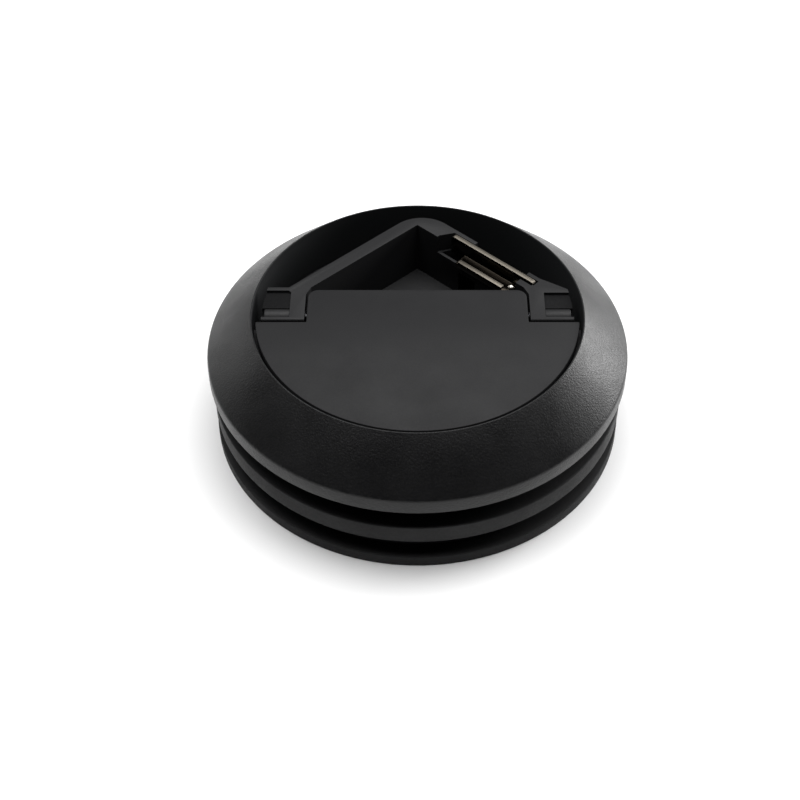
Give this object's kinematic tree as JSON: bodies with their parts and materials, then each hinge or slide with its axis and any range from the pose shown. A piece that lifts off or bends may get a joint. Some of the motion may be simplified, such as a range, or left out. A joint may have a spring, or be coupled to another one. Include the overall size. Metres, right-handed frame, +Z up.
{
  "type": "desk cable grommet",
  "caption": "Round black flip-lid cable grommet: conical bezel on a ribbed sleeve, hinged lid, V-shaped finger pocket and a metal catch clip.",
  "frame": {"origin": "middle of the bottom edge of the sleeve", "axes": "+Z up out of the desk, +X along the lid's hinge, +Y towards the finger pocket"},
  "size_m": [0.0816, 0.0816, 0.0271],
  "materials": {
    "bezel_plastic": "satin moulded",
    "sleeve_plastic": "moulded",
    "tray_plastic": "fine matt moulded",
    "lid_plastic": "fine matt moulded",
    "bush_plastic": "smooth moulded",
    "clip_steel": "bright rolled",
    "rivet_steel": "bright",
    "pin_steel": "black oxide",
    "screw_steel": "black zinc",
    "buffer_rubber": "soft"
  },
  "bodies": {
    "grommet": {"bezel_collar": "bezel_plastic", "hole_sleeve": "sleeve_plastic", "insert_tray": "tray_plastic", "catch_clip": "clip_steel", "clip_rivet": "rivet_steel", "hinge_pin_left": "pin_steel", "hinge_pin_right": "pin_steel", "hinge_bush_left": "bush_plastic", "hinge_bush_right": "bush_plastic", "friction_washer_left": "pin_steel", "friction_washer_right": "pin_steel", "lid_buffer_left": "buffer_rubber", "lid_buffer_right": "buffer_rubber", "assembly_screws": "screw_steel"},
    "lid": {"lid_flap": "lid_plastic"}
  },
  "joints": [
    {"name": "lid_hinge", "type": "hinge", "parent": "grommet", "child": "lid", "pos_m": [0, 0.0001, 0.0252], "axis": [-1, 0, 0], "range_deg": [0, 90]}
  ]
}
